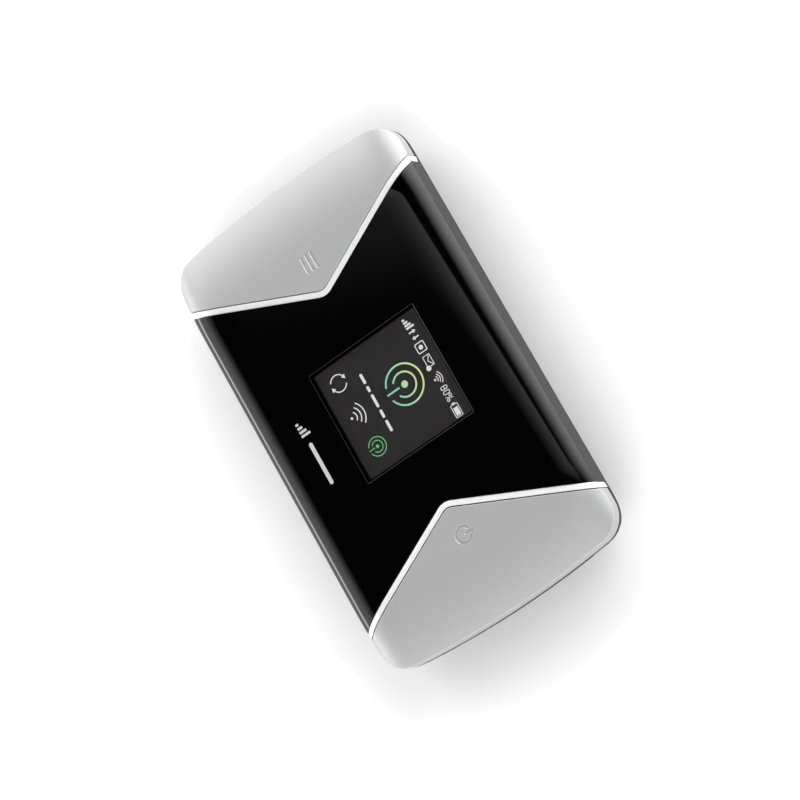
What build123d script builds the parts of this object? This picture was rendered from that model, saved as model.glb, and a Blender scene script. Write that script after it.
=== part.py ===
from build123d import *
import os
from math import atan2, cos, sqrt

os.makedirs("parts", exist_ok=True)

# A pocket 4G hotspot lying on its back. Origin: middle of the footprint, on the resting face.
# X runs from the menu end (-X) to the power end (+X), +Z is up out of the screen. Millimetres.

# Outer form
LENGTH = 112.5
WIDTH = 66.5
HEIGHT = 16.0
END_BULGE = 2.2  # how far the two short ends bow out
CORNER_RADIUS = 7.0
END_ROLL, END_DROP, END_POWER = 18.0, 2.2, 2.2  # front surface rolling off to the ends
SIDE_ROLL, SIDE_DROP, SIDE_POWER = 15.0, 2.75, 5.0  # and to the long edges
BELLY_ROLL, BELLY_RISE, BELLY_POWER = 12.0, 7.9, 2.6  # rear surface rising to the waist
SKIM = 0.02  # the rolled surfaces stand this far past the flats, which trim them level
GRID_X, GRID_Y, GRID_LINES = 60.0, 36.0, 49  # reach and count of the points they are fitted through

# Shell
WALL = 1.5
COVER_WALL = 1.2
TRIM_DEPTH = 0.7
TRIM_WIDTH = 1.4
KEY_GAP = 0.2
V_APEX = 27.4  # sharp corner of the V in the front panel, before rounding
V_EDGE = 42.7  # where the V meets the long edges
V_ROUND = 4.5

# Heights of the seams and layers
COVER_TOP = 8.15
RIM_BOTTOM = 8.3
RIM_TOP = 9.0
KEY_BOTTOM = 9.35
BAND_TOP = 12.9
PANEL_BOTTOM = 13.0
PLATE_BOTTOM, PLATE_TOP = 7.2, 8.0
BOARD_BOTTOM, BOARD_TOP = 9.3, 10.3

# Window and display
WINDOW_X, WINDOW_Y = 28.9, 31.1
WINDOW_CENTRE = (0.07, 1.87)
LENS_THICK = 0.8
LENS_LEDGE = 0.6  # the lens rests on this width all round
LENS_GAP = 0.05
DISPLAY_TOP = 14.0
DISPLAY_X, DISPLAY_Y = 32.5, 38.0

# Board, battery and plate
BOARD_X, BOARD_Y = 99.0, 50.4
BATTERY_X = (-27.0, 37.0)
BATTERY_Y = (-23.0, 23.0)
BATTERY_Z = (1.6, 7.0)
CELL_ROUND = 1.6
BAY_GAP = 0.4
BAY_WALL = 1.0
BAY_WALL_BOTTOM = 2.3
CARD_WINDOW_X = (-48.0, -31.0)
CARD_WINDOW_Y = (-22.4, 22.4)
SIM_CENTRE = (-39.0, 15.0)
MICROSD_CENTRE = (-39.0, -15.5)

# Keys
ICON_X, ICON_Y = 36.5, 0.4
ICON_DEPTH = 0.2
PIVOT_X, PIVOT_Z = 52.4, 10.9
PIN_RADIUS, BORE_RADIUS = 0.8, 0.86
LUG_Y = (14.5, 16.0)
POST_Y = (16.4, 19.4)
SWITCH_TOP = 11.7
PLUNGER_TOP = 12.4

CONTACT_Y = (8.5, 10.9, 13.3, 15.7)
RESET_PLACE = (-29.2, -10.0)

# Fasteners
CHASSIS_SCREWS = [(x, y) for x in (-35.0, 12.0, 35.0) for y in (-27.4, 27.4)]
BOARD_SCREWS = [(x, y) for x in (-46.8, 46.8) for y in (-23.8, 23.8)]
SCREW_RADIUS, HEAD_RADIUS, HEAD_HEIGHT = 0.75, 1.5, 0.8
SCREW_POST_RADIUS = 1.8

# Micro-USB receptacle, sunk into the board edge
USB_X, USB_LENGTH = 7.5, 5.4
USB_Z = (9.5, 12.0)
USB_MOUTH_Y = -32.9
USB_SKIN = 0.25

V_COS = cos(atan2(V_EDGE - V_APEX, WIDTH / 2))
FAR = 40.0  # past every edge of the body


def block(x, y, z):
    """Box given by its (low, high) pairs along each axis."""
    low, high = zip(x, y, z)
    size = [b - a for a, b in zip(low, high)]
    middle = [(a + b) / 2 for a, b in zip(low, high)]
    return Pos(*middle) * Box(*size)


def centred(centre, size_x, size_y, z):
    """Box centred on a point of the plan, between two heights."""
    x, y = centre
    return block((x - size_x / 2, x + size_x / 2), (y - size_y / 2, y + size_y / 2), z)


def rod(x, y, radius, z):
    """Upright round rod between two heights."""
    return Pos(x, y, (z[0] + z[1]) / 2) * Cylinder(radius, z[1] - z[0])


def crossbar(x, z, radius, y):
    """Round bar lying along Y."""
    bar = Cylinder(radius, y[1] - y[0], rotation=(90, 0, 0))
    return Pos(x, (y[0] + y[1]) / 2, z) * bar


def prism(face, z):
    """A plan face raised between two heights."""
    return Pos(0, 0, z[0]) * extrude(face, z[1] - z[0])


def both_ends(solid):
    """A piece and its copy at the other end of the body."""
    return solid + mirror(solid, Plane.YZ)


def both_sides(solid):
    """A piece and its copy on the other side of the body."""
    return solid + mirror(solid, Plane.XZ)


def plan(inset=0.0):
    """Outline of the body from above, drawn in all round by inset."""
    half_x = LENGTH / 2 - inset
    half_y = WIDTH / 2 - inset
    corner_x = half_x - END_BULGE
    outline = [
        Line((-corner_x, half_y), (corner_x, half_y)),
        ThreePointArc((corner_x, half_y), (half_x, 0), (corner_x, -half_y)),
        Line((corner_x, -half_y), (-corner_x, -half_y)),
        ThreePointArc((-corner_x, -half_y), (-half_x, 0), (-corner_x, half_y)),
    ]
    face = make_face(outline)
    return fillet(face.vertices(), max(CORNER_RADIUS - inset, 1.0))


def past_roll(x, y, inset, end_roll, side_roll):
    """How far a point is into the rolled-off margins, 0 to 1 each way."""
    half_x = LENGTH / 2 - inset
    half_y = WIDTH / 2 - inset
    along = abs(x) + END_BULGE * (y / half_y) ** 2 - (half_x - end_roll)
    across = abs(y) - (half_y - side_roll)
    return max(0.0, along) / end_roll, max(0.0, across) / side_roll


def crown_height(x, y, inset):
    """Front surface: level in the middle, falling away to the long edges and the ends."""
    along, across = past_roll(x, y, inset, END_ROLL, SIDE_ROLL)
    fall = END_DROP * along**END_POWER + SIDE_DROP * across**SIDE_POWER
    return HEIGHT - inset + SKIM - fall


def belly_height(x, y, inset):
    """Rear surface: level in the middle, curving up to the waist all round."""
    along, across = past_roll(x, y, inset, BELLY_ROLL, BELLY_ROLL)
    spread = sqrt(sqrt(along**4 + across**4))
    return inset - SKIM + BELLY_RISE * spread**BELLY_POWER


def curved_block(height_of, inset, depth):
    """Block under (negative depth) or over (positive depth) a rolled surface."""
    spread = [2 * i / (GRID_LINES - 1) - 1 for i in range(GRID_LINES)]
    columns = [GRID_X * u for u in spread]
    rows = [GRID_Y * v for v in spread]
    grid = [[(x, y, height_of(x, y, inset)) for x in columns] for y in rows]
    surface = Face.make_surface_from_array_of_points(grid, tol=0.005)
    return Solid.extrude(surface, (0, 0, depth))


def crown_form(inset, bottom):
    """Everything inside the front surface drawn in by inset, above a height."""
    column = prism(plan(inset), (bottom, HEIGHT - inset))
    return column & curved_block(crown_height, inset, -12)


def belly_form(inset, top):
    """Everything inside the rear surface drawn in by inset, below a height."""
    column = prism(plan(inset), (inset, top))
    return column & curved_block(belly_height, inset, 16)


def v_end(offset):
    """Plan of the power end beyond the V line moved out by offset."""
    apex = V_APEX + offset / V_COS
    slope = (V_EDGE - V_APEX) / (WIDTH / 2)
    far_x = apex + slope * FAR
    corners = [(apex, 0), (far_x, FAR), (2 * FAR, FAR), (2 * FAR, -FAR), (far_x, -FAR)]
    face = make_face(Polyline(*corners, close=True))
    tip = face.vertices().sort_by(Axis.X)[0]
    return fillet(tip, V_ROUND - offset)


def waist_column(offset, z):
    """The space between the two V lines moved out by offset."""
    tall = block((-60, 60), (-FAR, FAR), z)
    return tall - both_ends(prism(v_end(offset), z))


def wall_ring(outer_inset, inner_inset, z):
    """Upright wall following the outline between two insets."""
    return prism(plan(outer_inset), z) - prism(plan(inner_inset), z)


def front_panel(crown, seat, core):
    """Glossy centre of the front, with ledges under the trims, the window and the screw posts."""
    above = (PANEL_BOTTOM, HEIGHT + 1)
    skin = (crown - core) & waist_column(0, above)
    ledges = (seat - core) & waist_column(TRIM_WIDTH, above) & both_ends(prism(v_end(0), above))
    panel = skin + ledges
    ledge_bottom = HEIGHT - LENS_THICK
    view_size = (WINDOW_X - 2 * LENS_LEDGE, WINDOW_Y - 2 * LENS_LEDGE)
    panel -= centred(WINDOW_CENTRE, WINDOW_X, WINDOW_Y, (ledge_bottom, HEIGHT + 1))
    panel -= centred(WINDOW_CENTRE, *view_size, (PANEL_BOTTOM, HEIGHT))
    for x, y in CHASSIS_SCREWS:
        post = rod(x, y, SCREW_POST_RADIUS, (RIM_TOP, HEIGHT - WALL))
        panel += post - rod(x, y, SCREW_RADIUS, (RIM_TOP, HEIGHT - WALL))
    return panel


def trim(crown, seat):
    """Bright strip along the V at the power end, carried down the side walls."""
    z = (RIM_TOP, HEIGHT + 1)
    strip = prism(v_end(0), z) - prism(v_end(TRIM_WIDTH), z)
    return (crown - seat) & strip


def menu_icon():
    """Three short bars, one above the other."""
    z = (HEIGHT - ICON_DEPTH, HEIGHT + 1)
    return [centred((-ICON_X, ICON_Y + 1.4 * row), 4.4, 0.5, z) for row in (-1, 0, 1)]


def power_icon():
    """Ring open at the top with a stroke through the opening."""
    z = (HEIGHT - ICON_DEPTH, HEIGHT + 1)
    ring = rod(ICON_X, ICON_Y, 2.1, z) - rod(ICON_X, ICON_Y, 1.6, z)
    ring -= centred((ICON_X, ICON_Y + 2), 1.7, 3, z)
    return [ring, centred((ICON_X, ICON_Y + 1.5), 0.5, 2.2, z)]


def key_cap(crown, core):
    """Power-end cap: shell, two lugs with hinge pins, and the post that presses the switch."""
    z = (KEY_BOTTOM, HEIGHT + 1)
    cap = (crown - core) & prism(v_end(TRIM_WIDTH + KEY_GAP), z)
    lug_z = (PIVOT_Z - 1.3, HEIGHT - WALL)
    lug = block((PIVOT_X - 1.3, PIVOT_X + 1.3), LUG_Y, lug_z) & core
    lug += crossbar(PIVOT_X, PIVOT_Z, PIN_RADIUS, (LUG_Y[0], POST_Y[1] - 0.2))
    cap += both_sides(lug)
    cap += rod(ICON_X, ICON_Y, 1.0, (PLUNGER_TOP + 0.05, HEIGHT - WALL))
    rib_z = (HEIGHT - WALL - 0.8, HEIGHT - WALL)
    cap += both_sides(block((33.0, 50.0), (7.0, 7.8), rib_z) & core)
    return cap


def pivot_posts():
    """The two bored posts at the power end that hold the key's pins."""
    foot = block((PIVOT_X - 1.5, PIVOT_X + 1.5), POST_Y, (RIM_TOP, PIVOT_Z))
    post = foot + crossbar(PIVOT_X, PIVOT_Z, 1.5, POST_Y)
    return both_sides(post - crossbar(PIVOT_X, PIVOT_Z, BORE_RADIUS, POST_Y))


def bay_walls():
    """Walls round the battery, open at the contacts and with a finger notch."""
    z = (BAY_WALL_BOTTOM, PLATE_BOTTOM)
    near = BAY_GAP
    far = BAY_GAP + BAY_WALL
    (x0, x1), (y0, y1) = BATTERY_X, BATTERY_Y
    walls = block((x0 - far, x1 + far), (y0 - far, y1 + far), z)
    walls -= block((x0 - near, x1 + near), (y0 - near, y1 + near), z)
    walls -= block((x1, x1 + far), (-8, 8), z)
    walls -= block((x0 - far, x0), (4.5, 19.5), z)
    return walls


def tab_places():
    """(x, y, along_x) of the cover's locating tabs, mid-thickness in the rim."""
    inset = 1.3
    sides = [(x, side * (WIDTH / 2 - inset), True) for x in (-26.0, 26.0) for side in (-1, 1)]
    ends = [(side * (LENGTH / 2 - inset - 0.25), y, False) for y in (-11.0, 11.0) for side in (-1, 1)]
    return sides + ends


def tabs(thick, length, z):
    """Upright tabs at each place, or the slots that take them."""
    blades = []
    for x, y, along_x in tab_places():
        size = (length, thick) if along_x else (thick, length)
        blades.append(centred((x, y), *size, z))
    return blades


def mid_frame():
    """Chassis: side band, rim, plate, battery bay, posts and antenna ribs in one moulding."""
    frame = prism(plan(2.7), (PLATE_BOTTOM, RIM_BOTTOM)) & belly_form(WALL, RIM_BOTTOM)
    frame += wall_ring(0, 8, (RIM_BOTTOM, RIM_TOP))
    frame -= prism(plan(8), (PLATE_TOP, RIM_TOP))
    band_z = (RIM_TOP, BAND_TOP)
    frame += wall_ring(0, WALL, band_z) & waist_column(0, band_z)
    ledge_z = (RIM_TOP, BAND_TOP - 1)
    frame += wall_ring(TRIM_DEPTH, WALL, ledge_z) & waist_column(TRIM_WIDTH, ledge_z)
    frame += bay_walls()
    frame += both_ends(pivot_posts())
    frame += both_ends(block((50.8, 51.5), (-13.5, 13.5), (RIM_TOP, BAND_TOP - 0.4)))
    for x, y in BOARD_SCREWS:
        frame += rod(x, y, 1.7, (PLATE_BOTTOM, BOARD_BOTTOM))
        frame -= rod(x, y, SCREW_RADIUS, (PLATE_BOTTOM, BOARD_BOTTOM))
    for x, y in CHASSIS_SCREWS:
        frame -= rod(x, y, SCREW_RADIUS, (PLATE_BOTTOM, RIM_TOP))
    frame -= block(CARD_WINDOW_X, CARD_WINDOW_Y, (PLATE_BOTTOM, PLATE_TOP))
    frame -= block((-31.5, -28.0), (5, 19), (PLATE_BOTTOM, PLATE_TOP))
    frame -= rod(*RESET_PLACE, 0.9, (PLATE_BOTTOM, PLATE_TOP))
    frame -= tabs(1.2, 6.4, (RIM_BOTTOM, RIM_TOP - 0.05))
    frame -= centred((0, USB_MOUTH_Y), 8.1, 4.5, (USB_Z[0] - 0.15, USB_Z[1] + 0.15))
    return frame


def rear_cover():
    """Removable tray that closes the back, with locating tabs and a pry notch."""
    tray = belly_form(0, COVER_TOP) - belly_form(COVER_WALL, COVER_TOP + 1)
    tray += tabs(0.8, 6.0, (COVER_TOP - 1, RIM_TOP - 0.25))
    notch = crossbar(LENGTH / 2 - 0.6, COVER_TOP, 0.9, (22.0, 26.0))
    return tray - notch


def display():
    """Screen stack from the sealing gasket down to the steel tray, with its ribbon and socket."""
    x, y = WINDOW_CENTRE
    panel_under = HEIGHT - WALL
    glass_bottom = DISPLAY_TOP - 0.8
    tray_bottom = 11.9
    gasket = centred(WINDOW_CENTRE, DISPLAY_X, DISPLAY_Y, (DISPLAY_TOP, panel_under))
    gasket -= centred(WINDOW_CENTRE, WINDOW_X - 0.4, WINDOW_Y - 0.4, (DISPLAY_TOP, panel_under))
    tray = centred(WINDOW_CENTRE, DISPLAY_X + 0.6, DISPLAY_Y + 0.6, (tray_bottom, DISPLAY_TOP - 0.1))
    tray -= centred(WINDOW_CENTRE, DISPLAY_X, DISPLAY_Y, (tray_bottom + 0.3, DISPLAY_TOP))
    edge = y - DISPLAY_Y / 2
    tray -= block((x - 5.5, x + 5.5), (edge - 1, edge + 0.1), (tray_bottom + 0.3, DISPLAY_TOP))
    bend = edge - 2.2
    plug_z = BOARD_TOP + 0.6
    route = [(edge, glass_bottom), (bend, glass_bottom), (bend, plug_z), (edge - 4.4, plug_z)]
    strip = trace(FilletPolyline(*route, radius=0.7), 0.15)
    ribbon = Plane.YZ * extrude(strip, 5, both=True)
    socket = centred((x, edge - 5.6), 12, 2.4, (BOARD_TOP, BOARD_TOP + 1.1))
    panel_size = (DISPLAY_X - 0.2, DISPLAY_Y - 0.2)
    return {
        "display_gasket": gasket,
        "display_glass": centred(WINDOW_CENTRE, *panel_size, (glass_bottom, DISPLAY_TOP)),
        "display_backlight": centred(WINDOW_CENTRE, *panel_size, (tray_bottom + 0.3, glass_bottom)),
        "display_frame": tray,
        "display_flex": Pos(x, 0, 0) * ribbon,
        "display_connector": socket,
    }


def main_board():
    """Circuit board, notched for the sunk USB receptacle and drilled for its screws."""
    z = (BOARD_BOTTOM, BOARD_TOP)
    board = centred((0, 0), BOARD_X, BOARD_Y, z)
    board += block((-8, 8), (-31.4, -BOARD_Y / 2), z)
    board -= block((-USB_X / 2 - 0.1, USB_X / 2 + 0.1), (-32, USB_MOUTH_Y + USB_LENGTH + 0.1), z)
    for x, y in BOARD_SCREWS:
        board -= rod(x, y, SCREW_RADIUS, z)
    return board


def shield_can(centre, size_x, size_y):
    """Pressed steel can, open underneath, standing on the board."""
    z = (BOARD_TOP, BOARD_TOP + 1.5)
    can = centred(centre, size_x, size_y, z)
    return can - centred(centre, size_x - 0.4, size_y - 0.4, (z[0], z[1] - 0.2))


def chip(centre, size_x, size_y, thick=0.9):
    """Chip package soldered on the front of the board."""
    return centred(centre, size_x, size_y, (BOARD_TOP, BOARD_TOP + thick))


def passives():
    """Rows of small resistors and capacitors beside the cans."""
    parts = [chip((-44 + 2.2 * i, 24.2), 1.0, 0.5, 0.5) for i in range(3, 12)]
    parts += [chip((24 + 2.2 * i, -22.8), 1.6, 0.8, 0.8) for i in range(8)]
    parts += [chip((-27.5, -14 + 1.8 * i), 0.5, 1.0, 0.5) for i in range(9)]
    return parts


def card_socket(centre, card_x, card_y, mouth):
    """Card socket under the board: insulating base with contacts side up, and steel cage."""
    x, y = centre
    outer_x, outer_y = card_x + 2.4, card_y - 0.8
    cage_z = (BOARD_BOTTOM - 1.4, BOARD_BOTTOM - 0.2)
    cage = centred(centre, outer_x, outer_y, cage_z)
    cage -= centred((x, y + 0.5 * mouth), card_x + 0.2, outer_y, (cage_z[0] + 0.15, cage_z[1]))
    cage -= rod(x, y, 3.2, cage_z)
    base = centred(centre, outer_x, outer_y, (BOARD_BOTTOM - 0.2, BOARD_BOTTOM))
    return base, cage


def sim_card():
    """Card lying in its socket, with a cut corner, and its contact field."""
    x, y = SIM_CENTRE
    card_z = (BOARD_BOTTOM - 1.15, BOARD_BOTTOM - 0.39)
    low_y = y - 8.6
    card = block((x - 6, x + 6), (low_y, low_y + 15), card_z)
    corner = Pos(x - 6, low_y, 0) * Rot(Z=45) * block((-1.8, 1.8), (-1.8, 1.8), card_z)
    pads = []
    for row in range(3):
        for side in (-1, 1):
            pad_centre = (x + 3.1 * side, y - 1.1 + 2.6 * (row - 1))
            pads.append(centred(pad_centre, 3.4, 2.2, (card_z[1], card_z[1] + 0.05)))
    return card - corner, pads


def usb():
    """Micro-USB receptacle: folded steel shell and the contact tongue inside it."""
    length_y = (USB_MOUTH_Y, USB_MOUTH_Y + USB_LENGTH)
    outer = block((-USB_X / 2, USB_X / 2), length_y, USB_Z)
    outer = chamfer(outer.edges().filter_by(Axis.Y).group_by(Axis.Z)[0], 0.8)
    x = (-USB_X / 2 + USB_SKIN, USB_X / 2 - USB_SKIN)
    z = (USB_Z[0] + USB_SKIN, USB_Z[1] - USB_SKIN)
    hollow = block(x, (USB_MOUTH_Y, length_y[1] - USB_SKIN), z)
    hollow = chamfer(hollow.edges().filter_by(Axis.Y).group_by(Axis.Z)[0], 0.7)
    tongue = block((-1.9, 1.9), (USB_MOUTH_Y + 0.9, length_y[1] - USB_SKIN), (10.75, 11.35))
    tongue += block((-2.7, 2.7), (length_y[1] - 1.4, length_y[1] - USB_SKIN), (z[0] + 0.1, z[1] - 0.1))
    return outer - hollow, tongue


def battery():
    """Pack: cell, moulded end cap, contact pads and the printed sleeve round it."""
    cap_x = (BATTERY_X[0], BATTERY_X[0] + 5.0)
    cell_y = (BATTERY_Y[0] + 0.1, BATTERY_Y[1] - 0.1)
    cell_z = (BATTERY_Z[0] + 0.1, BATTERY_Z[1] - 0.1)
    cell = block((cap_x[1], BATTERY_X[1] - 0.1), cell_y, cell_z)
    cell = fillet(cell.edges().filter_by(Axis.X), CELL_ROUND)
    sleeve = block((cap_x[1] + 0.1, BATTERY_X[1]), BATTERY_Y, BATTERY_Z)
    sleeve = fillet(sleeve.edges().filter_by(Axis.X), CELL_ROUND + 0.1)
    sleeve -= cell
    end_cap = block(cap_x, cell_y, cell_z)
    end_cap = fillet(end_cap.edges().filter_by(Axis.X), CELL_ROUND)
    pads = [block((BATTERY_X[0] - 0.05, cap_x[0]), (y - 1.0, y + 1.0), (3.0, 5.6)) for y in CONTACT_Y]
    return cell, sleeve, end_cap, pads


def battery_connector():
    """Contact block hanging from the board beside the bay, and its sprung blades."""
    body_x = (-31.0, -28.6)
    body = block(body_x, (6.0, 18.0), (2.6, BOARD_BOTTOM))
    blades = []
    for y in CONTACT_Y:
        body -= block((body_x[1] - 1.2, body_x[1]), (y - 0.6, y + 0.6), (2.6, 6.4))
        route = [(-29.7, 6.2), (-29.2, 3.2), (BATTERY_X[0] - 0.22, 4.3), (-29.0, 5.4)]
        blade = extrude(trace(FilletPolyline(*route, radius=0.35), 0.15), 0.45, both=True)
        blades.append(Pos(0, y, 0) * (Plane.XZ * blade))
    return body, blades


def tact_switch(x, y):
    """Side-by-side switch body on the board, bored for its plunger, and the plunger."""
    body = centred((x, y), 4.2, 3.2, (BOARD_TOP, SWITCH_TOP)) - rod(x, y, 0.95, (BOARD_TOP + 0.4, SWITCH_TOP))
    plunger = rod(x, y, 0.9, (BOARD_TOP + 0.7, PLUNGER_TOP))
    return body, plunger


def reset_switch():
    """Recessed switch under the board, reached with a pin through the plate."""
    x, y = RESET_PLACE
    body = centred((x, y), 2.6, 2.6, (BOARD_BOTTOM - 1.1, BOARD_BOTTOM))
    body -= rod(x, y, 0.65, (BOARD_BOTTOM - 1.1, BOARD_BOTTOM - 0.2))
    plunger = rod(x, y, 0.6, (PLATE_TOP - 0.45, BOARD_BOTTOM - 0.5))
    return body, plunger


def end_antenna(length, slot_count):
    """Printed strip on the rib at the power end, with its slots."""
    strip = block((50.65, 50.8), (-length / 2, length / 2), (RIM_TOP + 0.2, BAND_TOP - 0.5))
    pitch = length / (slot_count + 1)
    for i in range(slot_count):
        y = -length / 2 + pitch * (i + 1)
        reach = (RIM_TOP + 1.0, BAND_TOP) if i % 2 else (RIM_TOP, BAND_TOP - 1.3)
        strip -= block((50, 51), (y - 0.3, y + 0.3), reach)
    return strip


def side_antennas():
    """Two Wi-Fi strips on the inner face of the long side wall."""
    y = WIDTH / 2 - WALL
    strips = []
    for x in (-22.0, 22.0):
        strip = block((x - 7, x + 7), (y - 0.15, y), (RIM_TOP + 0.2, BAND_TOP - 0.3))
        strip -= block((x - 5, x + 7), (y - 1, y), (RIM_TOP + 1.4, RIM_TOP + 1.9))
        strips.append(strip)
    return strips


def antenna_clips():
    """Sprung feet from the board to each antenna."""
    clips = []
    for end in (-1, 1):
        foot = block((47.6, 50.6), (-6.5, -5.0), (BOARD_TOP, BOARD_TOP + 0.15))
        foot += block((50.5, 50.65), (-6.5, -5.0), (BOARD_TOP, BOARD_TOP + 1.2))
        clips.append(foot if end > 0 else mirror(foot, Plane.YZ))
    for x in (-16.0, 16.0):
        reach = (BOARD_Y / 2 - 1.5, WIDTH / 2 - WALL - 0.15)
        foot = block((x - 0.7, x + 0.7), reach, (BOARD_TOP, BOARD_TOP + 0.15))
        foot += block((x - 0.7, x + 0.7), (reach[1] - 0.15, reach[1]), (BOARD_TOP, BOARD_TOP + 1.2))
        clips.append(foot)
    return clips


def screw(x, y, head_z, tip_z, head_down):
    """Cross-recessed screw standing on end, its head at head_z."""
    step = -HEAD_HEIGHT if head_down else HEAD_HEIGHT
    head = rod(x, y, HEAD_RADIUS, sorted((head_z, head_z + step)))
    shank = rod(x, y, SCREW_RADIUS - 0.01, sorted((head_z, tip_z)))
    depth = sorted((head_z + step, head_z + step / 3))
    cross = centred((x, y), 1.7, 0.35, depth) + centred((x, y), 0.35, 1.7, depth)
    return head + shank - cross


def board_pieces():
    """Circuit board and everything soldered or screwed to it."""
    nodes = {
        "main_board": main_board(),
        "modem_shield": shield_can((-4, 9), 26, 22),
        "wifi_shield": shield_can((27, 10), 16, 16),
        "power_shield": shield_can((26, -11), 18, 14),
        "modem_chip": chip((-6, 9), 11, 11),
        "thermal_pad": centred((-6, 9), 10, 10, (BOARD_TOP + 0.9, BOARD_TOP + 1.3)),
        "memory_chip": chip((4.2, 9), 8, 10),
        "wifi_chip": chip((27, 10), 7, 7),
        "power_chip": chip((26, -11), 6, 6),
        "board_passives": passives(),
        "antenna_clips": antenna_clips(),
        "board_screws": [screw(x, y, BOARD_TOP, PLATE_TOP, False) for x, y in BOARD_SCREWS],
        "chassis_screws": [screw(x, y, PLATE_BOTTOM, 13.6, True) for x, y in CHASSIS_SCREWS],
    }
    nodes["usb_shell"], nodes["usb_tongue"] = usb()
    nodes["sim_base"], nodes["sim_cage"] = card_socket(SIM_CENTRE, 12.0, 15.0, -1)
    nodes["microsd_base"], nodes["microsd_cage"] = card_socket(MICROSD_CENTRE, 11.0, 14.0, 1)
    nodes["sim_card"], nodes["sim_card_contacts"] = sim_card()
    nodes["battery_connector"], nodes["battery_springs"] = battery_connector()
    nodes["menu_switch"], nodes["menu_plunger"] = tact_switch(-ICON_X, ICON_Y)
    nodes["power_switch"], nodes["power_plunger"] = tact_switch(ICON_X, ICON_Y)
    nodes["reset_switch"], nodes["reset_plunger"] = reset_switch()
    nodes["main_antenna"] = end_antenna(26, 5)
    nodes["diversity_antenna"] = mirror(end_antenna(22, 3), Plane.YZ)
    nodes["wifi_antennas"] = side_antennas()
    return nodes


def shell_pieces():
    """Front panel, trims, key caps, chassis, rear cover and lens."""
    crown = crown_form(0, RIM_TOP)
    seat = crown_form(TRIM_DEPTH, RIM_TOP - 1)
    core = crown_form(WALL, RIM_TOP - 1)
    power_cap = key_cap(crown, core)
    power_trim = trim(crown, seat)
    lens_z = (HEIGHT - LENS_THICK, HEIGHT)
    return {
        "front_panel": front_panel(crown, seat, core),
        "display_lens": centred(WINDOW_CENTRE, WINDOW_X - 2 * LENS_GAP, WINDOW_Y - 2 * LENS_GAP, lens_z),
        "menu_trim": mirror(power_trim, Plane.YZ),
        "power_trim": power_trim,
        "menu_key_cap": mirror(power_cap, Plane.YZ) - menu_icon(),
        "power_key_cap": power_cap - power_icon(),
        "mid_frame": mid_frame(),
        "rear_cover": rear_cover(),
    }


def build():
    nodes = shell_pieces() | display() | board_pieces()
    cell, sleeve, end_cap, pads = battery()
    nodes["battery_cell"] = cell
    nodes["battery_label"] = sleeve
    nodes["battery_end_cap"] = end_cap
    nodes["battery_contacts"] = pads
    return nodes


def solids_of(shape):
    """Every solid of a piece, or of a group of pieces."""
    pieces = shape if isinstance(shape, list) else [shape]
    return [solid for piece in pieces for solid in piece.solids()]


if __name__ == "__main__":
    for name, shape in build().items():
        export_step(Compound(children=solids_of(shape)), f"parts/{name}.step")
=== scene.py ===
"""Looks of a pocket mobile hotspot, built round its CAD frame. Shapes are worked out in millimetres."""

from math import asin, atan2, ceil, copysign, cos, hypot, pi, radians, sin, sqrt

import bmesh
import bpy
import numpy as np
from mathutils import Matrix, Vector
from mathutils.geometry import delaunay_2d_cdt


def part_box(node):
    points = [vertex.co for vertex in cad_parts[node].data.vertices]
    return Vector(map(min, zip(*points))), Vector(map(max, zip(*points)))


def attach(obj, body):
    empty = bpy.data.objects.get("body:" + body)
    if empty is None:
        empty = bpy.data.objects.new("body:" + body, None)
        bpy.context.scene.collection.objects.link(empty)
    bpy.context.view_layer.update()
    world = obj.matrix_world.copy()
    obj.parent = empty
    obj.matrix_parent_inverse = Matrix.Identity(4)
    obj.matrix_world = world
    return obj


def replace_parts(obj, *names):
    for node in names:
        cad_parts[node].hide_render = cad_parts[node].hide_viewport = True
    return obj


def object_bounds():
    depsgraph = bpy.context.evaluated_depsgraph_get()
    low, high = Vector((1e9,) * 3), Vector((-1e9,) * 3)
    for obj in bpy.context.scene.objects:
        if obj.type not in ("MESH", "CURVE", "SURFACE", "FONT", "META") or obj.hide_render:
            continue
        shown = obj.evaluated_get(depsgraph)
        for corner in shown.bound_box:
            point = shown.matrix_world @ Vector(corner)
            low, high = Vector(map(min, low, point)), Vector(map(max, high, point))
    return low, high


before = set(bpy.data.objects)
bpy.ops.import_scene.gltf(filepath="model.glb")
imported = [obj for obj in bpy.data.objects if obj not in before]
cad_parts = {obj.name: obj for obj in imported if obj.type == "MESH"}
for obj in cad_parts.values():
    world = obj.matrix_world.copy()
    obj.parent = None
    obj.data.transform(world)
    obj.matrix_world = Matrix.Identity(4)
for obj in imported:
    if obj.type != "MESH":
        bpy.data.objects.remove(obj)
CAD_LOW, CAD_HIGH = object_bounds()

MM = 0.001
SLIVER = 0.0002  # triangles thinner than this lie along an edge and are left out

# Outer form, the same figures as in the design
LENGTH = (CAD_HIGH.x - CAD_LOW.x) / MM
WIDTH = (CAD_HIGH.y - CAD_LOW.y) / MM
HEIGHT = (CAD_HIGH.z - CAD_LOW.z) / MM
HALF_X, HALF_Y = LENGTH / 2, WIDTH / 2
END_BULGE = 2.2
CORNER_RADIUS = 7.0
END_ROLL, END_DROP, END_POWER = 18.0, 2.2, 2.2
SIDE_ROLL, SIDE_DROP, SIDE_POWER = 15.0, 2.75, 5.0
WALL = 1.5
RIM_TOP = 9.0
KEY_BOTTOM = 9.35
PANEL_BOTTOM = 13.0

# The V-shaped seams, their trims and the keys beyond them
V_APEX, V_EDGE, V_ROUND = 27.4, 42.7, 4.5
TRIM_WIDTH, TRIM_DEPTH, KEY_GAP = 1.4, 0.7, 0.2
V_SLOPE = (V_EDGE - V_APEX) / HALF_Y
V_ANGLE = atan2(1, V_SLOPE)
ICON_X, ICON_Y, ICON_DEPTH, ICON_SLOPE = 36.5, 0.4, 0.24, 0.22

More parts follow.
